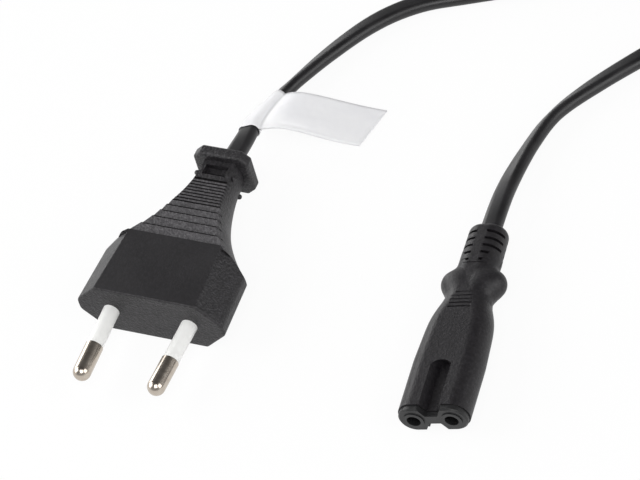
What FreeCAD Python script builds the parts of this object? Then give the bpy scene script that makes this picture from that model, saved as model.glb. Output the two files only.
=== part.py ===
import FreeCAD, Part
import math
import os

# A two-pole lead: a figure-eight appliance connector, flat two-core cord and flat two-pin plug.
# All sizes are in millimetres, +Z is up and the lead lies on the plane z = 0.
# The origin is under the middle of the connector, whose sockets face -Y.

Vec = FreeCAD.Vector

# connector: engagement part, with the distances along it counted from the front face
pin_pitch = 8.6              # between the two sockets
lobe_radius = 3.75           # rounded side of the figure eight
nose_length = 1.3            # hard insert that stands out of the overmould
nose_inset = 0.3             # insert's outline inside the overmould's outline
nose_bevel = 0.35
groove_length = 13.7         # keyway between the lobes
groove_mouth = 4.7
groove_floor = 2.2
groove_depth = 2.3
groove_end_lean = 0.5        # slope of its end wall, as a share of its side walls' slope
socket_radius = 1.5          # entry hole in the insert
socket_rim_width = 0.75      # raised rim round each entry hole
socket_rim_height = 0.25

# connector: body behind the engagement part
barrel_length = 14.0         # straight stretch behind the front face
shoulder_length = 17.0       # from there to the waist
# stations between the barrel's end (0) and the waist (1): share of the width, share of the height
shoulder_shape = [
    (0.2, 0.975, 1.0), (0.42, 0.945, 1.0), (0.65, 0.89, 0.99),
    (0.85, 0.765, 0.97), (1.0, 0.645, 0.95), (1.15, 0.58, 0.94),
]
knob_setback = 5.0           # round finger knobs, from the waist
knob_radius = 3.25
knob_offset = 4.15
relief_setback = 3.6         # strain relief, from the middle of the knobs
grip_line_count = 5
grip_line_pitch = 1.0
grip_line_width = 0.4
grip_line_depth = 0.3
grip_line_length = 5.2
grip_line_setback = 3.8      # from the waist forward to the first line

# connector: strain relief
relief_length = 11.4
relief_width = 9.2
relief_height = 7.3
relief_taper = 0.2
relief_end_round = 1.7
relief_overlap = 0.5         # how far the neck runs into the relief
slot_count = 5
slot_pitch = 1.95
slot_width = 0.65
slot_depth = 1.15
slot_setback = 0.45          # first slot, from the start of the relief
spine_width = 2.2            # web left above and below
side_spine_width = 1.5       # web left at the sides

# connector: inner parts
insert_length = 17.0
insert_tube_radius = 2.75
insert_web = 2.4
contact_setback = 2.8        # front of each spring contact
contact_length = 11.4
contact_bore_radius = 1.2
contact_wall = 0.4
contact_slit = 0.45
contact_slit_length = 8.0
contact_clearance = 0.15
contact_neck = 1.0
crimp_length = 4.5
crimp_wall = 0.3
bare_strand = 0.5            # strands seen between a crimp and the insulation

# cord: flat, two cores side by side
cord_width = 4.8
cord_thickness = 2.85
core_radius = 0.95
core_spacing = 2.2
strand_radius = 0.55
sheath_tail = 9.0            # sheath held inside the connector and inside the plug
core_lead = 2.4              # straight stretch of a core behind its crimp or pin
core_gather = 7.5            # cores come together this far ahead of the sheath

# plug: body, with the distances along it counted from the front face
plug_width = 34.8
plug_thickness = 13.7
plug_top_width = 24.1        # flat top at the front face
plug_top_width_rear = 21.8   # flat top at its rear edge
plug_width_rear = 33.4
plug_edge_height = 3.0       # upright edge at each side
plug_shoulder = 13.4         # where the sides start to draw in
plug_body_length = 17.2      # where the flat top ends
plug_edge_round = 2.0
plug_top_round = 0.9
plug_face_round = 0.5
plug_skim = 0.05             # taken off above and below, which leaves both faces flat

# plug: neck, as distance from the face, top half-width, middle half-width and half-height
neck_profile = [
    (17.2, 10.9, 13.7, 7.1), (21.0, 7.9, 10.8, 6.8), (26.0, 6.0, 7.9, 6.1),
    (31.0, 4.4, 6.2, 5.4), (36.5, 3.5, 5.1, 4.6), (42.0, 3.5, 4.7, 4.2),
]
tread_lengths = [2.4, 2.7, 2.2, 2.0, 1.8]
tread_drop = 1.5             # step down behind each broad tooth
rib_count = 8
rib_pitch = 0.95
rib_depth = 0.45
crest_front = 6.75           # half-height over the first tooth
crest_rear = 4.1             # half-height behind the fine ribs
window_length = 2.7
window_width = 5.4
window_depth = 1.3
window_slot_length = 1.2
window_slot_depth = 2.1
window_gap = 1.2             # between the window and the flange
pip_radius = 0.6             # small round pips beside the window
pip_station = 38.2
pip_offset = 4.4
pip_height = 3.0
neck_margin = 0.05           # first outline of the neck, past the plug's sides

# plug: flange
flange_station = 41.4
flange_thickness = 2.8
flange_width = 13.2
flange_height = 11.8
flange_top_width = 9.4
flange_edge_height = 8.2
flange_round = 0.7

# plug: pins and the bridge that holds them
plug_pin_pitch = 18.6
plug_pin_tip_pitch = 17.5
plug_pin_length = 19.0
plug_pin_radius = 2.0
sleeve_length = 10.0
sleeve_radius = 1.84
shank_radius = 1.6
sleeve_seat = 2.2            # sleeve held inside the plug
pin_seat = 7.4               # shank held inside the plug
collar_radius = 2.5
collar_length = 1.6
collar_setback = 3.6
pin_tail = 4.6
pin_tail_radius = 1.1
pin_cup = 3.0
bridge_front = 1.4
bridge_length = 6.0
bridge_width = 26.0
bridge_height = 6.4
bridge_round = 1.2

# how the lead lies
connector_lean = 10.0        # the set of the cord turns the connector a little onto one lobe
plug_place = (-67.3, -7.4)
plug_turn = -6.6

# cord routes, from each end to the coil: a straight run out of the end, its drop, then the points after it
exit_run = 7.6
connector_exit_drop = 0.3
plug_exit_drop = 1.4
connector_route = [
    (0.3, 41.3, 2.9), (2.0, 50.5, 2.5), (5.1, 61.0, 2.3), (12.3, 70.6, 2.1),
    (21.4, 80.4, 1.9), (31.2, 90.2, 1.8), (42.4, 100.6, 1.8), (47.5, 112.5, 2.0),
]
plug_route = [
    (-60.5, 53.8, 3.1), (-55.5, 65.3, 2.4), (-49.6, 75.4, 2.3), (-41.9, 85.7, 2.2), (-33.0, 92.3, 1.9),
    (-24.2, 95.5, 1.7), (-10.0, 98.9, 2.2), (0.1, 106.6, 5.5), (6.0, 118.9, 9.5), (9.8, 131.0, 12.5),
]
arc_share = 0.45

# coil of the length that isn't laid out, with its tie
coil_centre = (32.3, 130.3)
coil_mean_radius = 25.0
coil_columns = 2
coil_layers = 5
coil_column_pitch = 5.2
coil_layer_pitch = 3.3
coil_edge_round = 1.4
tie_thickness = 0.6
tie_width = 4.0
tie_angle = 45.0
tie_clearance = 0.15

# label: a film wrapped round the cord near the plug, with a flag
label_film = 0.3
label_skip_count = 3         # straight and curved stretches of cord from the plug to the label
label_edge_count = 2         # stretches that it covers
flag_root = 0.4              # where the flag leaves the wrap, in from the cord's edge
flag_reach = 25.0
flag_crown = 8.0
flag_rise = 1.6
flag_length = 11.5
flag_turn = 8.0              # degrees, from square to the cord

# derived places
waist_station = barrel_length + shoulder_length
knob_station = waist_station + knob_setback
relief_station = knob_station + relief_setback
connector_length = relief_station + relief_length
lean = math.radians(connector_lean)
axis_height = lobe_radius + pin_pitch / 2 * math.sin(lean)
connector_face = (socket_rim_height - connector_length) / 2
plug_length = flange_station + flange_thickness
crimp_start = contact_setback + contact_length + contact_neck
crimp_end = crimp_start + crimp_length
sides = {"left": -1, "right": 1}
far = 60.0                   # reach of the cutting blocks
overshoot = 1.0              # reach of a cut past the surface that it opens
touch = 0.01                 # places nearer than this count as the same


def box(x0, x1, y0, y1, z0, z1):
    return Part.makeBox(x1 - x0, y1 - y0, z1 - z0, Vec(x0, y0, z0))


def cylinder(radius, y0, y1, x=0.0, z=0.0):
    return Part.makeCylinder(radius, y1 - y0, Vec(x, y0, z), Vec(0, 1, 0))


def polygon(corners):
    return Part.makePolygon(corners + corners[:1])


def octagon(half_width, half_height, top_half, edge_half, y):
    quarter = [(top_half, half_height), (half_width, edge_half)]
    right = quarter + [(x, -z) for x, z in reversed(quarter)]
    left = [(-x, z) for x, z in reversed(right)]
    return polygon([Vec(x, y, z) for x, z in right + left])


def stadium(half_width, radius, y):
    """Outline across the axis: two half circles joined by flats."""
    c, r = half_width - radius, radius
    right = Part.Arc(Vec(c, y, r), Vec(c + r, y, 0), Vec(c, y, -r)).toShape()
    left = Part.Arc(Vec(-c, y, -r), Vec(-c - r, y, 0), Vec(-c, y, r)).toShape()
    top = Part.makeLine(Vec(-c, y, r), Vec(c, y, r))
    bottom = Part.makeLine(Vec(c, y, -r), Vec(-c, y, -r))
    return Part.Wire([top, right, bottom, left])


def barrel_outline(top_half, middle_half, half_height, y):
    """Outline with a flat top and bottom and bulging sides."""
    w, m, h = top_half, middle_half, half_height
    right = Part.Arc(Vec(w, y, h), Vec(m, y, 0), Vec(w, y, -h)).toShape()
    left = Part.Arc(Vec(-w, y, -h), Vec(-m, y, 0), Vec(-w, y, h)).toShape()
    top = Part.makeLine(Vec(-w, y, h), Vec(w, y, h))
    bottom = Part.makeLine(Vec(w, y, -h), Vec(-w, y, -h))
    return Part.Wire([top, right, bottom, left])


def prism(wire, length):
    return Part.Face(wire).extrude(Vec(0, length, 0))


def loft(wires, ruled=False):
    return Part.makeLoft(wires, True, ruled)


def fuse(shapes):
    return shapes[0].multiFuse(shapes[1:]).removeSplitter()


def only_solid(shape):
    return max(shape.Solids, key=lambda solid: solid.Volume)


def hollowed(shape, cavities):
    for cavity in cavities:
        shape = shape.cut(cavity)
    return only_solid(shape)


def routed_edges(points):
    """Straight runs joined by tangent arcs, each as large as its two runs allow."""
    edges, radii = [], []
    start = points[0]
    for before, corner, after in zip(points, points[1:], points[2:]):
        run_in, run_out = corner - before, after - corner
        half_turn = run_in.getAngle(run_out) / 2
        cut = arc_share * min(run_in.Length, run_out.Length)
        radius = cut / math.tan(half_turn)
        enter = corner - Vec(run_in).normalize() * cut
        leave = corner + Vec(run_out).normalize() * cut
        inward = ((enter + leave) * 0.5 - corner).normalize()
        middle = corner + inward * (radius / math.cos(half_turn) - radius)
        edges.append(Part.LineSegment(start, enter).toShape())
        edges.append(Part.Arc(enter, middle, leave).toShape())
        radii.append(radius)
        start = leave
    edges.append(Part.LineSegment(start, points[-1]).toShape())
    return edges, radii


def sweep_round(edges, radius):
    start = edges[0].Vertexes[0].Point
    heading = edges[0].tangentAt(edges[0].FirstParameter)
    circle = Part.Wire(Part.makeCircle(radius, start, heading))
    return Part.Wire(edges).makePipeShell([circle], True, False)


def sweep_flat(edges, width, thickness):
    """A flat cord's section swept with its width kept level."""
    start = edges[0].valueAt(edges[0].FirstParameter)
    heading = edges[0].tangentAt(edges[0].FirstParameter)
    section = stadium(width / 2, thickness / 2, 0.0)
    heading.z = 0
    side = Vec(heading).cross(Vec(0, 0, 1))
    turn = FreeCAD.Rotation(side, heading, Vec(0, 0, 1), "ZXY")
    section.Placement = FreeCAD.Placement(start, turn)
    sweep = Part.BRepOffsetAPI.MakePipeShell(Part.Wire(edges))
    sweep.setBiNormalMode(Vec(0, 0, 1))
    sweep.add(section)
    sweep.build()
    sweep.makeSolid()
    return sweep.shape()


# connector

def groove_cutter(spread):
    """Keyway cutter for the top side, its walls moved out by spread."""
    top = lobe_radius + overshoot
    floor_z = lobe_radius - groove_depth - spread
    slope = (groove_mouth - groove_floor) / 2 / groove_depth
    outlines = []
    for z in (floor_z, top):
        half = groove_floor / 2 + spread + (z - floor_z) * slope
        end = groove_length - groove_floor / 2 - (z - floor_z) * slope * groove_end_lean
        arc = Part.Arc(Vec(half, end, z), Vec(0, end + groove_floor / 2, z), Vec(-half, end, z)).toShape()
        corners = [(-half, end), (-half, -overshoot), (half, -overshoot), (half, end)]
        straight = Part.makePolygon([Vec(x, y, z) for x, y in corners])
        outlines.append(Part.Wire([arc] + straight.Edges))
    return loft(outlines, True)


def both_faces(shape):
    return [shape, shape.mirror(Vec(0, 0, 0), Vec(0, 0, 1))]


def both_sides(shape):
    return [shape, shape.mirror(Vec(0, 0, 0), Vec(1, 0, 0))]


def strain_relief():
    half, radius = relief_width / 2, relief_height / 2
    ring = loft([
        stadium(half, radius, relief_station),
        stadium(half - relief_taper, radius - relief_taper / 2, connector_length),
    ], True)
    end_edges = [e for e in ring.Edges if e.BoundBox.YMin > connector_length - touch]
    ring = ring.makeFillet(relief_end_round, end_edges)
    core_outline = stadium(half - slot_depth, radius - slot_depth, relief_station - overshoot)
    core = prism(core_outline, relief_length + 2 * overshoot)
    spines = [
        box(-spine_width / 2, spine_width / 2, relief_station, connector_length, -far, far),
        box(-far, far, relief_station, connector_length, -side_spine_width / 2, side_spine_width / 2),
    ]
    slots = []
    for number in range(slot_count):
        y = relief_station + slot_setback + number * slot_pitch
        slots.append(box(-far, far, y, y + slot_width, -far, far))
    cutter = Part.makeCompound(slots).cut([core] + spines)
    return ring.cut(cutter)


def grip_lines():
    lines = []
    for number in range(grip_line_count):
        y = waist_station - grip_line_setback + number * grip_line_pitch
        half = grip_line_length / 2
        floor_z = lobe_radius - grip_line_depth
        lines.append(box(-half, half, y, y + grip_line_width, floor_z, floor_z + overshoot))
    return lines


def connector_shell():
    half = pin_pitch / 2 + lobe_radius
    barrel = prism(stadium(half, lobe_radius, nose_length), barrel_length - nose_length)
    sections = [stadium(half, lobe_radius, barrel_length)]
    for along, width_share, radius_share in shoulder_shape:
        y = barrel_length + along * shoulder_length
        sections.append(stadium(half * width_share, lobe_radius * radius_share, y))
    last_share, last_radius = shoulder_shape[-1][1:]
    neck_start = barrel_length + shoulder_shape[-1][0] * shoulder_length
    neck_length = relief_station + relief_overlap - neck_start
    neck = prism(stadium(half * last_share, lobe_radius * last_radius, neck_start), neck_length)
    knob = Part.makeSphere(knob_radius, Vec(knob_offset, knob_station, 0))
    return fuse([barrel, loft(sections), neck, strain_relief()] + both_sides(knob))


def insert_solid():
    half = pin_pitch / 2 + lobe_radius - nose_inset
    nose = prism(stadium(half, lobe_radius - nose_inset, 0.0), nose_length)
    front_edges = [e for e in nose.Edges if e.BoundBox.YMax < touch]
    nose = nose.makeChamfer(nose_bevel, front_edges)
    nose = nose.cut(both_faces(groove_cutter(nose_inset)))
    parts = [nose]
    for side in (-1, 1):
        x = side * pin_pitch / 2
        parts.append(cylinder(insert_tube_radius, nose_length / 2, insert_length, x))
        parts.append(cylinder(socket_radius + socket_rim_width, -socket_rim_height, nose_length, x))
    web_half = insert_web / 2
    parts.append(box(-pin_pitch / 2, pin_pitch / 2, nose_length / 2, insert_length, -web_half, web_half))
    return fuse(parts)


def insert_holes():
    chamber = contact_bore_radius + contact_wall + contact_clearance
    holes = []
    for side in (-1, 1):
        x = side * pin_pitch / 2
        holes.append(cylinder(socket_radius, -overshoot, contact_setback, x))
        holes.append(cylinder(chamber, contact_setback, insert_length + overshoot, x))
    return holes


def spring_contact(side):
    """A slit sleeve for the appliance's pin, and a crimp for the strands behind it."""
    x = side * pin_pitch / 2
    end = contact_setback + contact_length
    outer = contact_bore_radius + contact_wall
    crimp_radius = strand_radius + crimp_wall
    body = fuse([
        cylinder(outer, contact_setback, end + contact_neck, x),
        cylinder(crimp_radius, end, crimp_end, x),
    ])
    half, slit_end = contact_slit / 2, contact_setback + contact_slit_length
    slit = box(x - half, x + half, 0, slit_end, -far, far)
    bore = cylinder(contact_bore_radius, 0, end, x)
    return body.cut([bore, slit, cylinder(strand_radius, crimp_start, crimp_end + overshoot, x)])


def connector_core_edges(side, start):
    wide, narrow = side * pin_pitch / 2, side * core_spacing / 2
    tail = connector_length - sheath_tail
    points = [(wide, start), (wide, crimp_end + core_lead)]
    points += [(narrow, tail - core_gather), (narrow, connector_length)]
    return routed_edges([Vec(x, y, 0) for x, y in points])[0]


def sheath_seat(length, extra):
    """The cord's end inside a moulding of this length, run on past it by extra."""
    section = stadium(cord_width / 2, cord_thickness / 2, length - sheath_tail)
    return prism(section, sheath_tail + extra)


def sheath_end(length):
    core = cylinder(core_radius, 0, length + overshoot, core_spacing / 2)
    return sheath_seat(length, 0.0).cut(both_sides(core))


def connector_parts():
    shell = connector_shell().cut(both_faces(groove_cutter(0.0)))
    shell = shell.cut([s for line in grip_lines() for s in both_faces(line)])
    insert = insert_solid()
    parts = {}
    cavities = [insert, sheath_seat(connector_length, overshoot)]
    for name, side in sides.items():
        x = side * pin_pitch / 2
        strands = sweep_round(connector_core_edges(side, crimp_start), strand_radius)
        skin = sweep_round(connector_core_edges(side, crimp_end + bare_strand), core_radius)
        chamber = contact_bore_radius + contact_wall + contact_clearance
        cavities += [strands, skin, cylinder(strand_radius + crimp_wall, crimp_start, crimp_end, x)]
        cavities.append(cylinder(chamber, contact_setback, insert_length, x))
        parts["contact_" + name] = spring_contact(side)
        parts["connector_core_" + name] = skin.cut(strands)
        parts["connector_strands_" + name] = strands
    parts["connector_body"] = hollowed(shell, cavities)
    parts["connector_insert"] = insert.cut(insert_holes())
    parts["connector_sheath_end"] = sheath_end(connector_length)
    return parts


def place_connector(shape):
    shape.rotate(Vec(0, 0, 0), Vec(0, 1, 0), -connector_lean)
    shape.translate(Vec(0, connector_face, axis_height))
    return shape


# plug

def plug_front():
    half, edge = plug_width / 2, plug_edge_height / 2
    height = plug_thickness / 2 + plug_skim
    block = loft([
        octagon(half, height, plug_top_width / 2, edge, 0.0),
        octagon(plug_width_rear / 2, height, plug_top_width_rear / 2, edge, plug_body_length),
    ], True)
    long_edges = [e for e in block.Edges if e.BoundBox.YLength > plug_body_length / 2]
    side_edges = [e for e in long_edges if abs(e.CenterOfMass.z) < height / 2]
    block = block.makeFillet(plug_edge_round, side_edges)
    top_edges = [e for e in block.Edges if e.BoundBox.YLength > plug_body_length / 2
                 and abs(abs(e.CenterOfMass.z) - height) < touch]
    block = block.makeFillet(plug_top_round, top_edges)
    face_edges = [e for e in block.Edges if e.BoundBox.YMax < touch]
    level = box(-far, far, -far, far, -plug_thickness / 2, plug_thickness / 2)
    return block.makeFillet(plug_face_round, face_edges).common(level)


def neck_envelope():
    first = neck_profile[0]
    flare = (plug_width / 2 - first[2]) / (first[0] - plug_shoulder)
    top_half = first[1] + flare * (first[0] - plug_shoulder)
    front = (plug_shoulder, top_half, plug_width / 2 + neck_margin, first[3])
    return loft([barrel_outline(w, m, h, y) for y, w, m, h in [front] + neck_profile])


def neck_sides():
    """Slab whose top and bottom carry the broad teeth, the fine ribs and the plain collar."""
    teeth_start = plug_body_length + tread_lengths[0]
    ribs_end = plug_body_length + sum(tread_lengths) + rib_count * rib_pitch

    def crest(y):
        share = (y - teeth_start) / (ribs_end - teeth_start)
        return crest_front + (crest_rear - crest_front) * share

    level = plug_thickness / 2
    outline = [(plug_body_length - overshoot, level), (plug_body_length, level)]
    y = plug_body_length
    for length in tread_lengths:
        outline.append((y, crest(y) - tread_drop))
        y += length
        outline.append((y, crest(y)))
    for number in range(rib_count):
        outline.append((y, crest(y) - rib_depth))
        y += rib_pitch
        outline.append((y, crest(y)))
    outline.append((flange_station + overshoot, crest_rear))
    mirrored = [(y, -z) for y, z in reversed(outline)]
    corners = [Vec(-far, y, z) for y, z in outline + mirrored]
    return Part.Face(polygon(corners)).extrude(Vec(2 * far, 0, 0))


def plug_flange():
    half, height, edge = flange_width / 2, flange_height / 2, flange_edge_height / 2
    outline = octagon(half, height, flange_top_width / 2, edge, flange_station)
    plate = prism(outline, flange_thickness)
    long_edges = [e for e in plate.Edges if e.BoundBox.YLength > flange_thickness / 2]
    plate = plate.makeFillet(flange_round, long_edges)
    rim_edges = [e for e in plate.Edges if e.BoundBox.YLength < touch]
    return plate.makeFillet(flange_round, rim_edges)


def neck_windows():
    rear = flange_station - window_gap
    front = rear - window_length
    half = window_width / 2
    pocket = box(-half, half, front, rear, crest_rear - window_depth, far)
    slot_end = front + window_slot_length
    slot = box(-half, half, front, slot_end, crest_rear - window_slot_depth, far)
    return both_faces(pocket.fuse(slot))


def neck_pips():
    pip = Part.makeSphere(pip_radius, Vec(pip_offset, pip_station, pip_height))
    return [p for side_pip in both_sides(pip) for p in both_faces(side_pip)]


def plug_shell():
    envelope = neck_envelope()
    front = plug_front()
    ahead = box(-far, far, -overshoot, plug_shoulder, -far, far)
    body = front.common(ahead)
    shoulder = front.common(envelope)
    neck = neck_sides().common(envelope)
    return fuse([body, shoulder, neck, plug_flange()] + neck_pips()).cut(neck_windows())


def pin_axis(side):
    """A point of the pin's axis on the face, and the axis's direction into the plug."""
    spread = (plug_pin_pitch - plug_pin_tip_pitch) / 2
    return Vec(side * plug_pin_pitch / 2, 0, 0), Vec(side * spread, plug_pin_length, 0).normalize()


def on_pin_axis(shape, side):
    origin, heading = pin_axis(side)
    turn = FreeCAD.Rotation(Vec(0, 1, 0), heading)
    shape.Placement = FreeCAD.Placement(origin, turn).multiply(shape.Placement)
    return shape


def plug_pin(side):
    solid = fuse([
        Part.makeSphere(plug_pin_radius, Vec(0, plug_pin_radius - plug_pin_length, 0)),
        cylinder(plug_pin_radius, plug_pin_radius - plug_pin_length, -sleeve_length),
        cylinder(shank_radius, -sleeve_length, pin_seat),
        cylinder(collar_radius, collar_setback, collar_setback + collar_length),
        cylinder(pin_tail_radius, pin_seat, pin_seat + pin_tail),
    ])
    tail_end = pin_seat + pin_tail
    cup = cylinder(strand_radius, tail_end - pin_cup, tail_end + overshoot)
    return on_pin_axis(solid, side), on_pin_axis(cup, side)


def pin_sleeve(side):
    outer = cylinder(sleeve_radius, -sleeve_length, sleeve_seat)
    return on_pin_axis(outer.cut(cylinder(shank_radius, -far, far)), side)


def pin_bridge():
    half, height = bridge_width / 2, bridge_height / 2
    rear = bridge_front + bridge_length
    block = box(-half, half, bridge_front, rear, -height, height)
    long_edges = [e for e in block.Edges if e.BoundBox.YLength > bridge_length / 2]
    return block.makeFillet(bridge_round, long_edges)


def plug_core_edges(side, start):
    origin, heading = pin_axis(side)
    bend = pin_seat + pin_tail + core_lead
    narrow = side * core_spacing / 2
    tail = plug_length - sheath_tail
    points = [origin + heading * start, origin + heading * bend]
    points += [Vec(narrow, tail - core_gather, 0), Vec(narrow, plug_length, 0)]
    return routed_edges(points)[0]


def plug_parts():
    bridge = pin_bridge()
    cavities = [bridge, sheath_seat(plug_length, overshoot)]
    pins = []
    parts = {}
    for name, side in sides.items():
        pin, cup = plug_pin(side)
        sleeve = pin_sleeve(side)
        strands = sweep_round(plug_core_edges(side, pin_seat + pin_tail - pin_cup), strand_radius)
        skin = sweep_round(plug_core_edges(side, pin_seat + pin_tail + bare_strand), core_radius)
        cavities += [pin, sleeve, strands, skin]
        pins += [pin, sleeve]
        parts["pin_" + name] = pin.cut(cup)
        parts["pin_sleeve_" + name] = sleeve
        parts["plug_core_" + name] = skin.cut(strands)
        parts["plug_strands_" + name] = strands
    parts["plug_body"] = hollowed(plug_shell(), cavities)
    parts["plug_bridge"] = bridge.cut(pins)
    parts["plug_sheath_end"] = sheath_end(plug_length)
    return parts


def place_plug(shape):
    shape.rotate(Vec(0, 0, 0), Vec(0, 0, 1), plug_turn)
    shape.translate(Vec(plug_place[0], plug_place[1], plug_thickness / 2))
    return shape


# cord, coil, tie and label

def coil_box():
    """Inner and outer radius, bottom and top of the coil."""
    half = (coil_columns - 1) / 2 * coil_column_pitch + cord_width / 2
    height = (coil_layers - 1) * coil_layer_pitch + cord_thickness
    return coil_mean_radius - half, coil_mean_radius + half, tie_thickness, tie_thickness + height


def cord_coil():
    inner, outer, bottom, top = coil_box()
    x, y = coil_centre
    corners = [Vec(inner, 0, bottom), Vec(outer, 0, bottom), Vec(outer, 0, top), Vec(inner, 0, top)]
    section = Part.Face(polygon(corners))
    ring = section.revolve(Vec(0, 0, 0), Vec(0, 0, 1), 360)
    rims = [e for e in ring.Edges if e.Curve.TypeId == "Part::GeomCircle"]
    ring = ring.makeFillet(coil_edge_round, rims)
    ring.translate(Vec(x, y, 0))
    return ring


def coil_tie():
    inner, outer, bottom, top = coil_box()
    gap, skin, half = tie_clearance, tie_thickness, tie_width / 2
    outside = box(inner - gap - skin, outer + gap + skin, -half, half, bottom - skin, top + skin)
    rounded = [e for e in outside.Edges if e.BoundBox.YLength > half]
    outside = outside.makeFillet(coil_edge_round + skin, rounded)
    inside = box(inner - gap, outer + gap, -far, far, bottom, top)
    rounded = [e for e in inside.Edges if e.BoundBox.YLength > far]
    band = outside.cut(inside.makeFillet(coil_edge_round - gap, rounded))
    band.rotate(Vec(0, 0, 0), Vec(0, 0, 1), tie_angle)
    band.translate(Vec(coil_centre[0], coil_centre[1], 0))
    return band


def cord_edges(route, start, back, drop):
    points = [start, start + back * exit_run - Vec(0, 0, drop)] + [Vec(*point) for point in route]
    edges, radii = routed_edges(points)
    print("cord arcs, mm:", [round(radius, 1) for radius in radii])
    return edges


def cord_tube(name, edges):
    """Sheath swept along its path and ended on the coil's outer wall."""
    tube = sweep_flat(edges, cord_width, cord_thickness)
    length = sum(edge.Length for edge in edges)
    section = math.pi * (cord_thickness / 2) ** 2 + (cord_width - cord_thickness) * cord_thickness
    share = tube.Volume / (section * length)
    print(name, "length", round(length, 1), "volume share", round(share, 4))
    outer, top = coil_box()[1::2]
    drum = Part.makeCylinder(outer, top, Vec(coil_centre[0], coil_centre[1], 0))
    return only_solid(tube.cut(drum))


def flag_label(edges, tube):
    """Film round the cord between two of its edges, with a flag that curves down to the table."""
    covered = edges[label_skip_count:label_skip_count + label_edge_count]
    wrap = sweep_flat(covered, cord_width + 2 * label_film, cord_thickness + 2 * label_film)
    first = covered[0].valueAt(covered[0].FirstParameter)
    last = covered[-1].valueAt(covered[-1].LastParameter)
    along = last - first
    along.z = 0
    along.normalize()
    along = FreeCAD.Rotation(Vec(0, 0, 1), flag_turn).multVec(along)
    across = along.cross(Vec(0, 0, 1))
    middle = (first + last) * 0.5
    base = Vec(middle.x, middle.y, 0) - along * (flag_length / 2)

    def at(reach, height):
        return base + across * reach + Vec(0, 0, height)

    root = middle.z
    edge_reach = cord_width / 2 - flag_root

    def bow(lift):
        crown = at(flag_crown, root + flag_rise + lift)
        return Part.Arc(at(edge_reach, root + lift), crown, at(flag_reach, lift)).toShape()

    tip = Part.makeLine(at(flag_reach, 0.0), at(flag_reach, label_film))
    base_line = Part.makeLine(at(edge_reach, root), at(edge_reach, root + label_film))
    outline = Part.Wire([bow(0.0), tip, bow(label_film).reversed(), base_line.reversed()])
    flag = Part.Face(outline).extrude(along * flag_length)
    return wrap.fuse(flag).cut(tube)


def build():
    nodes = {name: place_connector(shape) for name, shape in connector_parts().items()}
    nodes.update({name: place_plug(shape) for name, shape in plug_parts().items()})
    turn = math.radians(plug_turn)
    back = Vec(-math.sin(turn), math.cos(turn), 0)
    plug_exit = Vec(plug_place[0], plug_place[1], plug_thickness / 2) + back * plug_length
    connector_exit = Vec(0, connector_face + connector_length, axis_height)
    connector_edges = cord_edges(connector_route, connector_exit, Vec(0, 1, 0), connector_exit_drop)
    plug_edges = cord_edges(plug_route, plug_exit, back, plug_exit_drop)
    nodes["cord_connector_side"] = cord_tube("connector side", connector_edges)
    nodes["cord_plug_side"] = cord_tube("plug side", plug_edges)
    nodes["cord_coil"] = cord_coil()
    nodes["coil_tie"] = coil_tie()
    nodes["cord_label"] = flag_label(plug_edges, nodes["cord_plug_side"])
    return nodes


os.makedirs("parts", exist_ok=True)
for name, shape in build().items():
    print(name, len(shape.Solids), "solid", round(shape.Volume, 2), "valid", shape.isValid())
    shape.exportStep("parts/" + name + ".step")
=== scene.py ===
import math
import bpy
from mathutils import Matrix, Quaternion, Vector


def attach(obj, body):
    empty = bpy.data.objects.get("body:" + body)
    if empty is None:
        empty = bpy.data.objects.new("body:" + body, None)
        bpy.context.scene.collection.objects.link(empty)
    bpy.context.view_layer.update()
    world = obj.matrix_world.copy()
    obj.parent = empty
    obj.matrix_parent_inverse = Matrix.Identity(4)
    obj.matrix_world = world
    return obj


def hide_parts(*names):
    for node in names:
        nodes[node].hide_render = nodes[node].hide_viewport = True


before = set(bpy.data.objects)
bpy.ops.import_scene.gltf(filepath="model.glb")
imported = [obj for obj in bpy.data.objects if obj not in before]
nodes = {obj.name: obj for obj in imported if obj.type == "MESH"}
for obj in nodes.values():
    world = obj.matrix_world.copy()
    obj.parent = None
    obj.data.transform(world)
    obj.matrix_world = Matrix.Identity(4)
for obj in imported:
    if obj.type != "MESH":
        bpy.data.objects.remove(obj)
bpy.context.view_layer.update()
scene = bpy.context.scene
mm = 0.001

# camera: a long lens, rolled, looking down on the lead from its front right
cameraSpec = {
    "place": (0.23377, -0.48844, 0.64679),
    "target": (-0.03871, 0.02294, 0.0),
    "roll": -16.93,
    "lens": 225.0,
    "sensor": 36.0,
    "nearest": 0.01, "farthest": 20.0,
}
cameraData = bpy.data.cameras.new("camera")
cameraData.lens = cameraSpec["lens"]
cameraData.sensor_width = cameraSpec["sensor"]
cameraData.clip_start = cameraSpec["nearest"]
cameraData.clip_end = cameraSpec["farthest"]
camera = bpy.data.objects.new("camera", cameraData)
scene.collection.objects.link(camera)
camera.location = cameraSpec["place"]
look = Vector(cameraSpec["target"]) - camera.location
camera.rotation_mode = "QUATERNION"
camera.rotation_quaternion = (look.to_track_quat("-Z", "Y")
                              @ Quaternion((0, 0, 1), math.radians(cameraSpec["roll"])))
scene.camera = camera
scene.view_settings.view_transform = "Standard"
print("camera made")


# an sRGB hex value as a linear colour
def colour(text):
    parts = [int(text[i:i + 2], 16) / 255 for i in (1, 3, 5)]
    return tuple(c / 12.92 if c <= 0.04045 else ((c + 0.055) / 1.055) ** 2.4 for c in parts) + (1.0,)


def addNode(tree, kind, inputs=None, **settings):
    node = tree.nodes.new(kind)
    for name, value in settings.items():
        setattr(node, name, value)
    for key, value in (inputs or {}).items():
        if hasattr(value, "is_output"):
            tree.links.new(value, node.inputs[key])
        else:
            node.inputs[key].default_value = value
    return node


def newMaterial(name):
    material = bpy.data.materials.new(name)
    material.use_nodes = True
    material.node_tree.nodes.clear()
    return material, material.node_tree


def finishShader(tree, shader):
    addNode(tree, "ShaderNodeOutputMaterial", {"Surface": shader.outputs[0]})


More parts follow.
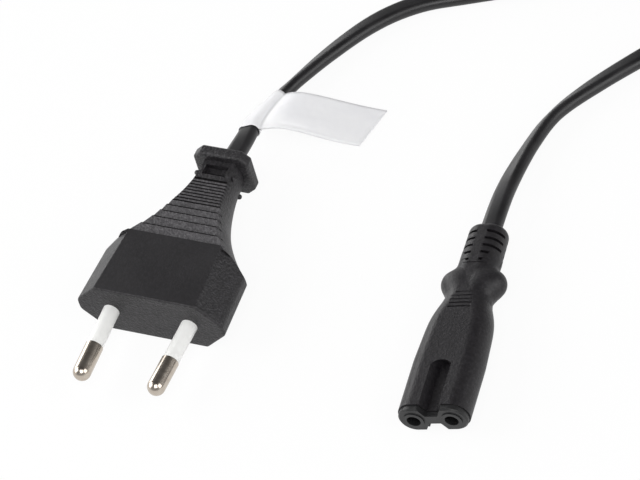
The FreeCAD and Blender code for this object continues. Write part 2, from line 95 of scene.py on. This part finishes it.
def noise(tree, place, scale, detail=3.0, roughness=0.55):
    return addNode(tree, "ShaderNodeTexNoise", {
        "Vector": place, "Scale": scale, "Detail": detail, "Roughness": roughness})


# a value carried from one range to another, held at the ends; low may lie above high
def spread(tree, value, low, high, toLow=0.0, toHigh=1.0):
    return addNode(tree, "ShaderNodeMapRange", {
        "Value": value, "From Min": low, "From Max": high, "To Min": toLow, "To Max": toHigh}).outputs[0]


def mixColour(tree, factor, a, b):
    mix = addNode(tree, "ShaderNodeMix", {0: factor, 6: a, 7: b}, data_type="RGBA")
    return mix.outputs[2]


def multiply(tree, a, b):
    return addNode(tree, "ShaderNodeMath", {0: a, 1: b}, operation="MULTIPLY").outputs[0]


# cord: one flat two-core cord from the connector's end, through the coil, to the plug's end
cordSpec = {
    "width": 4.8 * mm,
    "thickness": 2.85 * mm,
    "length": 1.8,
    "cornerPoints": 8,
    "edgeRound": 0.499,        # radius of its edges, as a share of its thickness
    # x, y, z in mm and the roll of the flat section in degrees, from the connector to the coil
    "connectorSide": [
        (0.0, 25.63, 4.5, -10), (0.0, 33.2, 4.2, -14), (0.3, 41.3, 2.9, -24), (2.0, 50.5, 2.5, -44),
        (5.1, 61.0, 2.3, -52), (12.3, 70.6, 2.1, -27), (21.4, 80.4, 1.9, -12), (31.2, 90.0, 1.8, -10),
        (42.0, 101.0, 1.8, 0),
    ],
    # and from the coil to the plug
    "plugSide": [
        (5.4, 119.2, 12.5, 0), (0.1, 106.6, 6.8, 0), (-10.0, 98.7, 2.4, 0), (-24.2, 95.2, 1.7, -4),
        (-33.0, 92.3, 1.9, 4), (-41.9, 85.7, 2.2, 12), (-49.6, 75.4, 2.3, 29), (-55.5, 65.3, 2.4, 50),
        (-61.5, 52.7, 3.2, 32), (-61.3, 44.1, 5.5, 5), (-62.2, 36.5, 6.85, 0),
    ],
    "coilCentre": (32.3, 130.3),
    # radius and height of each turn's place, in the order in which the cord fills them
    "coilPlaces": [
        (28.0, 2.05), (22.8, 2.05), (22.8, 5.35), (28.0, 5.35), (28.0, 8.65),
        (22.8, 8.65), (22.8, 11.95), (28.0, 11.95), (22.8, 15.25), (28.0, 15.25),
    ],
    "coilStart": -45.0,
    "coilTurns": 9.625,
    "turnPoints": 16,
    "changeOver": 0.22,        # share of each place's length in which the cord moves to the next place
    "curveSteps": 6,           # path points for each control point
}


def coilPoints(spec):
    places = spec["coilPlaces"]
    steps = round(spec["coilTurns"] * spec["turnPoints"])
    points = []
    for number in range(steps + 1):
        filled = number / steps * len(places)
        here = min(int(filled), len(places) - 1)
        after = min(here + 1, len(places) - 1)
        share = max(0.0, (filled - here - 1 + spec["changeOver"]) / spec["changeOver"])
        blend = share * share * (3 - 2 * share)
        radius, height = (a + (b - a) * blend for a, b in zip(places[here], places[after]))
        angle = math.radians(spec["coilStart"]) + 2 * math.pi * spec["coilTurns"] * number / steps
        x = spec["coilCentre"][0] + radius * math.cos(angle)
        y = spec["coilCentre"][1] + radius * math.sin(angle)
        points.append((x, y, height, 0))
    return points


routePoints = cordSpec["connectorSide"] + coilPoints(cordSpec) + cordSpec["plugSide"]
routeData = bpy.data.curves.new("cordRoute", "CURVE")
routeData.dimensions = "3D"
routeData.resolution_u = cordSpec["curveSteps"]
spline = routeData.splines.new("NURBS")
spline.points.add(len(routePoints) - 1)
for point, (x, y, z, roll) in zip(spline.points, routePoints):
    point.co = (x * mm, y * mm, z * mm, 1.0)
spline.order_u = 3
spline.use_endpoint_u = True
routeLine = bpy.data.meshes.new_from_object(bpy.data.objects.new("cordRoute", routeData))
path = [v.co.copy() for v in routeLine.vertices]


# roll of the section at a point of the path, between those given with the control points
def rollAt(number):
    last = len(routePoints) - 2
    place = number / (len(path) - 1) * last
    knots = [0.0] + [k + 0.5 for k in range(last)] + [float(last)]
    rolls = [point[3] for point in routePoints]
    for k in range(len(knots) - 1):
        if place <= knots[k + 1]:
            share = (place - knots[k]) / (knots[k + 1] - knots[k])
            return math.radians(rolls[k] + (rolls[k + 1] - rolls[k]) * share)
    return math.radians(rolls[-1])


rolls = [rollAt(number) for number in range(len(path))]
length = sum((b - a).length for a, b in zip(path, path[1:]))
print("cord length", round(length, 4), "points", len(path))


# sheath: satin black PVC, extruded, so smooth with a soft streak of light and a faint haze from handling
sheathSpec = {
    "dark": "#131214", "light": "#1b1a1c",
    "hazeScale": 180.0,        # clouds of about 5.6 mm
    "fineScale": 2600.0,       # marks of about 0.4 mm
    "sheen": 0.55,
    "smoothest": 0.34, "roughest": 0.46,
    "bumpStrength": 0.12, "bumpDepth": 0.05 * mm,
}


def cordSheathPvc(spec):
    material, tree = newMaterial("cordSheathPvc")
    place = addNode(tree, "ShaderNodeTexCoord").outputs["Object"]
    haze = noise(tree, place, spec["hazeScale"], 4.0)
    fine = noise(tree, place, spec["fineScale"], 2.0)
    cloud = spread(tree, haze.outputs[0], 0.35, 0.7)
    bump = addNode(tree, "ShaderNodeBump", {
        "Height": fine.outputs[0], "Strength": spec["bumpStrength"], "Distance": spec["bumpDepth"]})
    shader = addNode(tree, "ShaderNodeBsdfPrincipled", {
        "Base Color": mixColour(tree, cloud, colour(spec["dark"]), colour(spec["light"])),
        "Roughness": spread(tree, haze.outputs[0], 0.3, 0.75, spec["smoothest"], spec["roughest"]),
        "Specular IOR Level": spec["sheen"], "Normal": bump.outputs[0]})
    finishShader(tree, shader)
    return material


sheathMaterial = cordSheathPvc(sheathSpec)


def treeInput(tree, name, kind, value):
    socket = tree.interface.new_socket(name=name, in_out="INPUT", socket_type=kind)
    socket.default_value = value
    return socket.identifier


# a line swept with a flat section with round edges, turned by the line's own roll
def flatTubeTree():
    tree = bpy.data.node_groups.new("flatTube", "GeometryNodeTree")
    tree.interface.new_socket(name="Geometry", in_out="INPUT", socket_type="NodeSocketGeometry")
    tree.interface.new_socket(name="Geometry", in_out="OUTPUT", socket_type="NodeSocketGeometry")
    names = {
        "width": treeInput(tree, "Width", "NodeSocketFloat", cordSpec["width"]),
        "thickness": treeInput(tree, "Thickness", "NodeSocketFloat", cordSpec["thickness"]),
        "corner": treeInput(tree, "Corner points", "NodeSocketInt", cordSpec["cornerPoints"]),
        "material": treeInput(tree, "Material", "NodeSocketMaterial", None),
    }
    given = addNode(tree, "NodeGroupInput")
    line = addNode(tree, "GeometryNodeMeshToCurve", {"Mesh": given.outputs["Geometry"]})
    level = addNode(tree, "GeometryNodeSetCurveNormal", {"Curve": line.outputs[0]}, mode="Z_UP")
    roll = addNode(tree, "GeometryNodeInputNamedAttribute", {"Name": "roll"}, data_type="FLOAT")
    tilted = addNode(tree, "GeometryNodeSetCurveTilt", {
        "Curve": level.outputs[0], "Tilt": roll.outputs["Attribute"]})
    section = addNode(tree, "GeometryNodeCurvePrimitiveQuadrilateral", {
        "Width": given.outputs["Width"], "Height": given.outputs["Thickness"]})
    radius = addNode(tree, "ShaderNodeMath", {
        0: given.outputs["Thickness"], 1: cordSpec["edgeRound"]}, operation="MULTIPLY")
    rounded = addNode(tree, "GeometryNodeFilletCurve", {
        "Curve": section.outputs[0], "Count": given.outputs["Corner points"],
        "Radius": radius.outputs[0], "Limit Radius": True}, mode="POLY")
    tube = addNode(tree, "GeometryNodeCurveToMesh", {
        "Curve": tilted.outputs[0], "Profile Curve": rounded.outputs[0], "Fill Caps": True})
    smooth = addNode(tree, "GeometryNodeSetShadeSmooth", {
        "Geometry": tube.outputs[0], "Shade Smooth": True})
    real = addNode(tree, "GeometryNodeRealizeInstances", {"Geometry": smooth.outputs[0]})
    painted = addNode(tree, "GeometryNodeSetMaterial", {
        "Geometry": real.outputs[0], "Material": given.outputs["Material"]})
    addNode(tree, "NodeGroupOutput", {"Geometry": painted.outputs[0]})
    return tree, names


def builtPiece(name, mesh):
    piece = bpy.data.objects.new(name, mesh)
    scene.collection.objects.link(piece)
    return piece


def flatTube(name, points, rollValues, width, thickness, material):
    mesh = bpy.data.meshes.new(name + "Line")
    mesh.from_pydata(points, [(i, i + 1) for i in range(len(points) - 1)], [])
    mesh.attributes.new("roll", "FLOAT", "POINT").data.foreach_set("value", rollValues)
    line = builtPiece(name + "Line", mesh)
    tree, names = flatTubeTree()
    modifier = line.modifiers.new("flatTube", "NODES")
    modifier.node_group = tree
    modifier[names["width"]] = width
    modifier[names["thickness"]] = thickness
    modifier[names["corner"]] = cordSpec["cornerPoints"]
    modifier[names["material"]] = material
    bpy.context.view_layer.update()
    result = bpy.data.meshes.new_from_object(line.evaluated_get(bpy.context.evaluated_depsgraph_get()))
    result.name = name
    bpy.data.objects.remove(line)
    return builtPiece(name, result)


cord = flatTube("flatCord", path, rolls, cordSpec["width"], cordSpec["thickness"], sheathMaterial)
print("cord tube", len(cord.data.polygons), "faces")

# label: a film folded round the cord and stuck to itself as a flag, left blank
labelSpec = {
    "fromY": 48.4 * mm, "toY": 60.6 * mm,      # stretch of the cord it covers
    "plugSideX": -40.0 * mm,                   # the plug's side of the cord lies left of this
    "gap": 0.22 * mm,                          # film's middle, off the sheath
    "ply": 0.13 * mm,
    "plySpacing": 0.16 * mm,
    "tipLower": (-36.9, 50.0, 0.35), "tipUpper": (-33.2, 60.7, 0.35),
    "rise": 8.5 * mm,                          # how far it runs on in the cord section's own direction
    "fall": 11.0 * mm,                         # and how far it has flattened before its tip
    "dip": 0.18,
    "pinch": 0.35, "pinchPower": 3,            # how the wrap draws in to the flag's root
    "stations": 19, "flagPoints": 26, "wrapPoints": 30,
}

# film: white polypropylene, cast, with slight creases from the fold and a very fine grain
filmSpec = {
    "light": "#ebebec", "dark": "#e0e0e3",
    "creaseScale": 110.0,      # creases of about 9 mm
    "grainScale": 900.0,       # grain of about 1.1 mm
    "sheen": 0.45,
    "smoothest": 0.38, "roughest": 0.5,
    "creaseStrength": 0.35, "creaseDepth": 0.6 * mm,
    "grainStrength": 0.15, "grainDepth": 0.04 * mm,
}


def blankFilm(spec):
    material, tree = newMaterial("blankLabelFilm")
    place = addNode(tree, "ShaderNodeTexCoord").outputs["Object"]
    soft = noise(tree, place, spec["creaseScale"], 3.0)
    fine = noise(tree, place, spec["grainScale"], 3.0)
    cloud = spread(tree, soft.outputs[0], 0.3, 0.75)
    crease = addNode(tree, "ShaderNodeBump", {
        "Height": soft.outputs[0], "Strength": spec["creaseStrength"], "Distance": spec["creaseDepth"]})
    grain = addNode(tree, "ShaderNodeBump", {
        "Height": fine.outputs[0], "Strength": spec["grainStrength"], "Distance": spec["grainDepth"],
        "Normal": crease.outputs[0]})
    shader = addNode(tree, "ShaderNodeBsdfPrincipled", {
        "Base Color": mixColour(tree, cloud, colour(spec["light"]), colour(spec["dark"])),
        "Roughness": spread(tree, fine.outputs[0], 0.3, 0.7, spec["smoothest"], spec["roughest"]),
        "Specular IOR Level": spec["sheen"], "Normal": grain.outputs[0]})
    finishShader(tree, shader)
    return material


# the plug side of the cord at a given y: its middle, its heading and its roll
def stationAt(y):
    for number in range(len(path) - 1, 0, -1):
        a, b = path[number], path[number - 1]
        if a.y <= y <= b.y and a.x < labelSpec["plugSideX"]:
            share = (y - a.y) / (b.y - a.y)
            roll = rolls[number] + (rolls[number - 1] - rolls[number]) * share
            return a.lerp(b, share), (b - a).normalized(), roll
    raise ValueError("no cord there")


def bezier(a, b, c, d, t):
    s = 1 - t
    return a * s ** 3 + b * 3 * s * s * t + c * 3 * s * t * t + d * t ** 3


def labelMesh(spec):
    half = cordSpec["width"] / 2 - cordSpec["thickness"] / 2
    radius = cordSpec["thickness"] / 2 + spec["gap"]
    reach = half + radius
    points, faces = [], []
    count = spec["flagPoints"] * 2 + spec["wrapPoints"]
    for station in range(spec["stations"]):
        share = station / (spec["stations"] - 1)
        centre, along, roll = stationAt(spec["fromY"] + (spec["toY"] - spec["fromY"]) * share)
        level = along.cross(Vector((0, 0, 1))).normalized()
        up = level.cross(along).normalized()
        wide = level * math.cos(roll) + up * math.sin(roll)
        thin = up * math.cos(roll) - level * math.sin(roll)
        tip = Vector(spec["tipLower"]).lerp(Vector(spec["tipUpper"]), share) * mm
        root = centre + wide * reach
        away = tip - root
        away.z = 0
        away.normalize()
        away.z = -spec["dip"]
        crown, landing = root + wide * spec["rise"], tip - away * spec["fall"]
        arch = [bezier(root, crown, landing, tip, k / spec["flagPoints"])
                for k in range(1, spec["flagPoints"] + 1)]
        offset = thin * (spec["plySpacing"] / 2)
        ring = []
        for k in range(spec["wrapPoints"]):
            angle = 2 * math.pi * (k + 0.5) / spec["wrapPoints"]
            c, s = math.cos(angle), math.sin(angle)
            x = c * radius + (half if c > 0 else -half)
            pinch = max(0.0, c) ** spec["pinchPower"] * spec["pinch"]
            x = x + (reach - x) * pinch
            ring.append(centre + wide * x + thin * s * radius)
        points += [p + offset for p in reversed(arch)] + ring + [p - offset for p in arch]
    for station in range(spec["stations"] - 1):
        for k in range(count - 1):
            a = station * count + k
            faces.append((a, a + 1, a + count + 1, a + count))
    mesh = bpy.data.meshes.new("labelFilm")
    mesh.from_pydata(points, [], faces)
    mesh.polygons.foreach_set("use_smooth", [True] * len(faces))
    return mesh


label = builtPiece("labelFilm", labelMesh(labelSpec))
label.data.materials.append(blankFilm(filmSpec))
film = label.modifiers.new("film", "SOLIDIFY")
film.thickness = labelSpec["ply"]
film.offset = 0.0
print("label made")


# overmould: black PVC from an eroded mould, so matt, with a fine grain that breaks up the light
overmouldSpec = {
    "grainScale": 2000.0,                      # cells of 0.5 mm
    "mottleScale": 1500.0,                     # specks of about 0.7 mm
    "hazeScale": 70.0,                         # clouds of about 14 mm
    "dark": "#131114",
    "smoothest": 0.44, "roughest": 0.56,
    "bumpDepth": 0.28 * mm,
}
connectorSpec = {**overmouldSpec, "light": "#211f22", "bump": 0.25, "sheen": 0.42, "polish": 0.06}
# the plug's level faces are smoother, and its neck's treads and ribs have a painted highlight, a lighter
# tone on their slopes, with a painted shade line behind each crest
plugSpec = {
    **overmouldSpec, "light": "#2c2a2d", "bump": 0.8, "sheen": 0.5, "polish": 0.0,
    "place": (-67.3, -7.4), "turn": -6.6,      # middle of its front face in mm, and its heading
    "treads": [2.4, 2.7, 2.2, 2.0, 1.8], "treadStart": 17.2,
    "ribs": [0.95] * 8,
    "lineHalf": 0.27, "lineBehind": 0.1,
    "paintedLightFade": 0.1, "paintedLightPast": 0.3,          # soft edge of the painted highlight stretch, and its end past the ribs
    "topFrom": 0.35, "topFull": 0.6,           # how far a face must look up, as its normal's height, to take the painted highlight and the painted shade lines
    "levelFrom": 0.9, "levelFull": 0.99,       # and a level one
    "flatFrom": 13.1 * mm, "flatFade": 0.5 * mm,   # height above which a level face is the smooth one
    "levelBump": 0.12, "levelSpeck": 0.3,
    # painted highlight: lighter tones for the up-facing tread and rib slopes, as if lit from the front
    "paintedLitDark": "#312f32", "paintedLitLight": "#4e4c4f",
    # painted shade: near-black tone of the lines behind the crests, with less sheen in them
    "paintedShadeTone": "#0c0b0c", "lineSheen": 0.05,
}


# masks of the painted shade lines behind the crests and of the painted highlight stretch, by distance
# from the plug's front
def paintedCrestShadeAndLight(tree, place, spec):
    turn = math.radians(spec["turn"])
    back = (-math.sin(turn) / mm, math.cos(turn) / mm, 0.0)
    along = addNode(tree, "ShaderNodeVectorMath", {0: place, 1: back}, operation="DOT_PRODUCT")
    face = (spec["place"][0] * back[0] + spec["place"][1] * back[1]) * mm
    distance = addNode(tree, "ShaderNodeMath", {0: along.outputs[1], 1: face}, operation="SUBTRACT")
    station = distance.outputs[0]
    crest, paintedShadeLines = spec["treadStart"], 0.0
    for step in spec["treads"] + spec["ribs"]:
        crest += step
        near = addNode(tree, "ShaderNodeMath", {
            0: station, 1: crest + spec["lineBehind"], 2: spec["lineHalf"]}, operation="COMPARE")
        both = addNode(tree, "ShaderNodeMath", {0: near.outputs[0], 1: paintedShadeLines}, operation="ADD")
        paintedShadeLines = both.outputs[0]
    begun = spread(tree, station, spec["treadStart"], spec["treadStart"] + spec["paintedLightFade"])
    end = crest + spec["paintedLightPast"]
    return paintedShadeLines, multiply(tree, begun, spread(tree, station, end, end - spec["paintedLightFade"]))


# masks of the plug's smooth level faces, its painted shade lines and the painted highlight on its treads
def plugLevelAndPaintedLight(tree, place, spec):
    normal = addNode(tree, "ShaderNodeNewGeometry").outputs["Normal"]
    facing = addNode(tree, "ShaderNodeSeparateXYZ", {"Vector": normal}).outputs[2]
    height = addNode(tree, "ShaderNodeSeparateXYZ", {"Vector": place}).outputs[2]
    high = spread(tree, height, spec["flatFrom"], spec["flatFrom"] + spec["flatFade"])
    smooth = multiply(tree, spread(tree, facing, spec["levelFrom"], spec["levelFull"]), high)
    paintedShadeLines, paintedTreadLight = paintedCrestShadeAndLight(tree, place, spec)
    onTop = spread(tree, facing, spec["topFrom"], spec["topFull"])
    return smooth, multiply(tree, paintedShadeLines, onTop), multiply(tree, paintedTreadLight, onTop)


def overmouldPvc(name, spec):
    material, tree = newMaterial(name)
    place = addNode(tree, "ShaderNodeTexCoord").outputs["Object"]
    grain = addNode(tree, "ShaderNodeTexVoronoi", {"Vector": place, "Scale": spec["grainScale"]})
    mottle = noise(tree, place, spec["mottleScale"], 3.0, 0.7)
    haze = noise(tree, place, spec["hazeScale"], 3.0)
    speck = spread(tree, mottle.outputs[0], 0.42, 0.64)
    strength, sheen = spec["bump"], spec["sheen"]
    if "treads" in spec:
        smooth, paintedShadeLines, paintedTreadLight = plugLevelAndPaintedLight(tree, place, spec)
        strength = spread(tree, smooth, 0.0, 1.0, spec["bump"], spec["levelBump"])
        speck = multiply(tree, speck, spread(tree, smooth, 0.0, 1.0, 1.0, spec["levelSpeck"]))
        sheen = spread(tree, paintedShadeLines, 0.0, 1.0, spec["sheen"], spec["lineSheen"])
    tone = mixColour(tree, speck, colour(spec["dark"]), colour(spec["light"]))
    if "treads" in spec:
        # painted highlight: the up-facing tread and rib slopes take a lighter tone
        paintedLitTone = mixColour(tree, speck, colour(spec["paintedLitDark"]), colour(spec["paintedLitLight"]))
        tone = mixColour(tree, paintedTreadLight, tone, paintedLitTone)
        # painted shade: a near-black line behind each crest, where the crest shades the slope behind it
        tone = mixColour(tree, paintedShadeLines, tone, colour(spec["paintedShadeTone"]))
    bump = addNode(tree, "ShaderNodeBump", {
        "Height": multiply(tree, grain.outputs[0], mottle.outputs[0]), "Strength": strength,
        "Distance": spec["bumpDepth"]})
    smoothest, roughest = spec["smoothest"] - spec["polish"], spec["roughest"] - spec["polish"]
    shader = addNode(tree, "ShaderNodeBsdfPrincipled", {
        "Base Color": tone, "Roughness": spread(tree, haze.outputs[0], 0.3, 0.7, smoothest, roughest),
        "Specular IOR Level": sheen, "Normal": bump.outputs[0]})
    finishShader(tree, shader)
    return material


# insert: hard black nylon, injection moulded, smoother and a little glossier than the overmould
insertSpec = {
    "dark": "#151516", "light": "#1f1f20",
    "flowScale": 400.0,                        # flow marks of 2.5 mm
    "sheen": 0.5,
    "smoothest": 0.36, "roughest": 0.46,
    "bumpStrength": 0.15, "bumpDepth": 0.05 * mm,
}


def insertNylon(spec):
    material, tree = newMaterial("insertNylon")
    place = addNode(tree, "ShaderNodeTexCoord").outputs["Object"]
    flow = noise(tree, place, spec["flowScale"], 3.0)
    bump = addNode(tree, "ShaderNodeBump", {
        "Height": flow.outputs[0], "Strength": spec["bumpStrength"], "Distance": spec["bumpDepth"]})
    shader = addNode(tree, "ShaderNodeBsdfPrincipled", {
        "Base Color": mixColour(tree, flow.outputs[0], colour(spec["dark"]), colour(spec["light"])),
        "Roughness": spread(tree, flow.outputs[0], 0.3, 0.7, spec["smoothest"], spec["roughest"]),
        "Specular IOR Level": spec["sheen"], "Normal": bump.outputs[0]})
    finishShader(tree, shader)
    return material


# metals and plain plastics, with fine marks across their surface
markSpec = {
    "sheen": 0.5,
    "smoother": 0.03, "rougher": 0.05,
    "bumpDepth": 0.04 * mm,
}


def fineMarked(name, low, high, roughness, metallic, scale, strength):
    material, tree = newMaterial(name)
    place = addNode(tree, "ShaderNodeTexCoord").outputs["Object"]
    marks = noise(tree, place, scale, 4.0)
    tone = mixColour(tree, spread(tree, marks.outputs[0], 0.3, 0.7), colour(low), colour(high))
    bump = addNode(tree, "ShaderNodeBump", {
        "Height": marks.outputs[0], "Strength": strength, "Distance": markSpec["bumpDepth"]})
    smoothest, roughest = roughness - markSpec["smoother"], roughness + markSpec["rougher"]
    shader = addNode(tree, "ShaderNodeBsdfPrincipled", {
        "Base Color": tone, "Metallic": metallic, "Specular IOR Level": markSpec["sheen"],
        "Roughness": spread(tree, marks.outputs[0], 0.3, 0.7, smoothest, roughest),
        "Normal": bump.outputs[0]})
    finishShader(tree, shader)
    return material


connectorPvc = overmouldPvc("connectorPvc", connectorSpec)
plugPvc = overmouldPvc("plugPvc", plugSpec)
insertBlack = insertNylon(insertSpec)
# turned and plated, a soft warm mirror
nickel = fineMarked("nickelPlate", "#b9aea2", "#c8bfb4", 0.2, 1.0, 700.0, 0.08)
# stamped and rolled, yellow with a dull shine
brass = fineMarked("springBrass", "#b89a58", "#cdb072", 0.28, 1.0, 700.0, 0.1)
# drawn and twisted, reddish and rougher for its many wires
copper = fineMarked("copperStrands", "#b0704c", "#c8886a", 0.3, 1.0, 1500.0, 0.3)
# moulded over the pins, a clean white with a mild shine
sleevePlastic = fineMarked("whiteSleevePlastic", "#e9e9e7", "#efefed", 0.38, 0.0, 500.0, 0.08)
# moulded, hidden, grey and matt
bridgePlastic = fineMarked("greyBridgePlastic", "#58595a", "#666768", 0.5, 0.0, 500.0, 0.15)
# extruded PVC in the two core colours
brownCore = fineMarked("brownCoreInsulation", "#583520", "#664028", 0.35, 0.0, 600.0, 0.08)
blueCore = fineMarked("blueCoreInsulation", "#1c478c", "#24529c", 0.35, 0.0, 600.0, 0.08)
# moulded strap, black and satin
tieNylon = fineMarked("blackTieNylon", "#18181a", "#222224", 0.42, 0.0, 600.0, 0.12)
coats = {
    "connector_body": connectorPvc, "connector_insert": insertBlack, "plug_body": plugPvc,
    "plug_bridge": bridgePlastic, "coil_tie": tieNylon,
    "connector_sheath_end": sheathMaterial, "plug_sheath_end": sheathMaterial,
}
for side, core in (("left", brownCore), ("right", blueCore)):
    coats["contact_" + side] = brass
    coats["pin_" + side] = nickel
    coats["pin_sleeve_" + side] = sleevePlastic
    for end in ("connector", "plug"):
        coats[end + "_core_" + side] = core
        coats[end + "_strands_" + side] = copper
for name, material in coats.items():
    node = nodes[name]
    node.data.materials.clear()
    node.data.materials.append(material)
print("materials made")

# knobs: the finger knobs run into the waist and the strain relief in a soft hollow
knobSpec = {
    "lean": 10.0, "axisHeight": 4.4967, "frontY": -25.375,
    "offset": 4.15, "station": 36.0, "radius": 3.25,
    # distance from the front, half-width and half-height of the body round the knobs
    "body": [(25.05, 7.16, 3.71), (28.45, 6.16, 3.64), (31.0, 5.19, 3.56), (33.55, 4.67, 3.52),
             (43.0, 4.67, 3.52)],
    "blend": 2.3, "blendChange": 0.7,          # width of the hollow, more of it towards the front
    "blendLength": 3.0,                        # over which the width of the hollow changes
    "sunk": 0.03,
    "nearest": 0.5, "farthest": 8.0, "close": 0.002,   # search for the surface, from a knob's middle
    # how far round each knob it reaches, in degrees, and further towards the top and the underside
    "widest": 84.0, "wider": 58.0, "widerPower": 1.5,
    "rings": 44, "spokes": 72,
}


def bodyDistance(x, y, z, spec):
    for (y0, w0, r0), (y1, w1, r1) in zip(spec["body"], spec["body"][1:]):
        if y <= y1:
            break
    share = min(max((y - y0) / (y1 - y0), 0.0), 1.0)
    half, radius = w0 + (w1 - w0) * share, r0 + (r1 - r0) * share
    return math.hypot(max(abs(x) - (half - radius), 0.0), z) - radius


def knobPoint(polar, around, spec):
    dx, dy, dz = math.cos(polar), math.sin(polar) * math.cos(around), math.sin(polar) * math.sin(around)
    low, high = spec["nearest"], spec["farthest"]
    while high - low > spec["close"]:
        reach = (low + high) / 2
        x, y, z = spec["offset"] + dx * reach, spec["station"] + dy * reach, dz * reach
        body, ball = bodyDistance(x, y, z, spec), reach - spec["radius"]
        back = min(max(dy * reach / spec["blendLength"], -1), 1)
        blend = spec["blend"] - spec["blendChange"] * back
        near = max(blend - abs(body - ball), 0.0) / blend
        inside = min(body, ball) - near * near * blend / 4 + spec["sunk"] < 0
        low, high = (reach, high) if inside else (low, reach)
    return x, y, z


def knobMesh(spec):
    lean = math.radians(spec["lean"])
    points, faces = [], []
    for side in (1, -1):
        start = len(points)
        for ring in range(spec["rings"] + 1):
            for spoke in range(spec["spokes"]):
                around = 2 * math.pi * spoke / spec["spokes"]
                further = spec["wider"] * abs(math.sin(around)) ** spec["widerPower"]
                widest = math.radians(spec["widest"] + further)
                x, y, z = knobPoint(widest * ring / spec["rings"], around, spec)
                x *= side
                across = x * math.cos(lean) - z * math.sin(lean)
                height = x * math.sin(lean) + z * math.cos(lean) + spec["axisHeight"]
                points.append(Vector((across, y + spec["frontY"], height)) * mm)
        for ring in range(spec["rings"]):
            for spoke in range(spec["spokes"]):
                a = start + ring * spec["spokes"] + spoke
                b = start + ring * spec["spokes"] + (spoke + 1) % spec["spokes"]
                face = (a, b, b + spec["spokes"], a + spec["spokes"])
                faces.append(face[::-side])
    mesh = bpy.data.meshes.new("fingerKnobs")
    mesh.from_pydata(points, [], faces)
    mesh.polygons.foreach_set("use_smooth", [True] * len(faces))
    return mesh


knobs = builtPiece("fingerKnobs", knobMesh(knobSpec))
knobs.data.materials.append(connectorPvc)
print("knobs made")

# each new piece goes on the root body, and the nodes it replaces are hidden
for piece in (cord, label, knobs):
    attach(piece, "root")
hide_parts("cord_connector_side", "cord_plug_side", "cord_coil")
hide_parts("cord_label")

# floor, light and surroundings
studioSpec = {
    "floorSize": 4.0,
    "floorGlow": 0.93,         # share of the floor that shows as plain white
    "floorLow": "#efefef", "floorHigh": "#f3f3f3", "floorRoughness": 0.9,
    "fibreScale": 300.0,       # paper fibres of about 3.3 mm
    "skyHigh": 0.1, "skyLow": 0.5, "skyTop": 0.9,
    "lampAim": (-0.03, 0.03, 0.0),
    "lamps": [
        # place, size, power in watts
        ((-0.8, -0.1, 0.45), 0.7, 5.4),
        ((0.75, -0.1, 0.5), 0.7, 3.8),
        ((0.15, -0.6, 0.9), 0.7, 5.8),
        ((-0.8, 0.55, 0.18), 0.5, 2.8),
    ],
}


def whiteFloor(spec):
    material, tree = newMaterial("paperFloor")
    place = addNode(tree, "ShaderNodeTexCoord").outputs["Object"]
    fibre = noise(tree, place, spec["fibreScale"], 3.0)
    tone = mixColour(tree, fibre.outputs[0], colour(spec["floorLow"]), colour(spec["floorHigh"]))
    paper = addNode(tree, "ShaderNodeBsdfPrincipled", {
        "Base Color": tone, "Roughness": spec["floorRoughness"]})
    glow = addNode(tree, "ShaderNodeEmission", {"Color": (1.0, 1.0, 1.0, 1.0), "Strength": 1.0})
    seen = addNode(tree, "ShaderNodeLightPath")
    sharp = addNode(tree, "ShaderNodeMath", {
        0: seen.outputs["Is Glossy Ray"], 1: seen.outputs["Is Transmission Ray"]}, operation="MAXIMUM")
    direct = addNode(tree, "ShaderNodeMath", {
        0: seen.outputs["Is Camera Ray"], 1: sharp.outputs[0]}, operation="MAXIMUM")
    share = multiply(tree, direct.outputs[0], spec["floorGlow"])
    both = addNode(tree, "ShaderNodeMixShader", {0: share, 1: paper.outputs[0], 2: glow.outputs[0]})
    finishShader(tree, both)
    return material


half = studioSpec["floorSize"] / 2
floorMesh = bpy.data.meshes.new("floor")
floorCorners = [(-half, -half, 0), (half, -half, 0), (half, half, 0), (-half, half, 0)]
floorMesh.from_pydata(floorCorners, [], [(0, 1, 2, 3)])
floor = builtPiece("floor", floorMesh)
floorMesh.materials.append(whiteFloor(studioSpec))

world = bpy.data.worlds.new("studio")
world.use_nodes = True
scene.world = world
sky = world.node_tree
sky.nodes.clear()
upward = addNode(sky, "ShaderNodeSeparateXYZ", {
    "Vector": addNode(sky, "ShaderNodeTexCoord").outputs["Generated"]}).outputs[2]
level = spread(sky, upward, 0.0, studioSpec["skyTop"], studioSpec["skyLow"], studioSpec["skyHigh"])
around = addNode(sky, "ShaderNodeBackground", {"Color": (1.0, 1.0, 1.0, 1.0), "Strength": level})
plain = addNode(sky, "ShaderNodeBackground", {"Color": (1.0, 1.0, 1.0, 1.0), "Strength": 1.0})
seen = addNode(sky, "ShaderNodeLightPath")
shown = addNode(sky, "ShaderNodeMixShader", {
    0: seen.outputs["Is Camera Ray"], 1: around.outputs[0], 2: plain.outputs[0]})
addNode(sky, "ShaderNodeOutputWorld", {"Surface": shown.outputs[0]})

for number, (place, size, power) in enumerate(studioSpec["lamps"]):
    lampData = bpy.data.lights.new("softbox" + str(number), "AREA")
    lampData.shape = "SQUARE"
    lampData.size = size
    lampData.energy = power
    lamp = bpy.data.objects.new("softbox" + str(number), lampData)
    scene.collection.objects.link(lamp)
    lamp.location = place
    lamp.rotation_mode = "QUATERNION"
    aim = Vector(studioSpec["lampAim"]) - Vector(place)
    lamp.rotation_quaternion = aim.to_track_quat("-Z", "Y")
print("studio made")
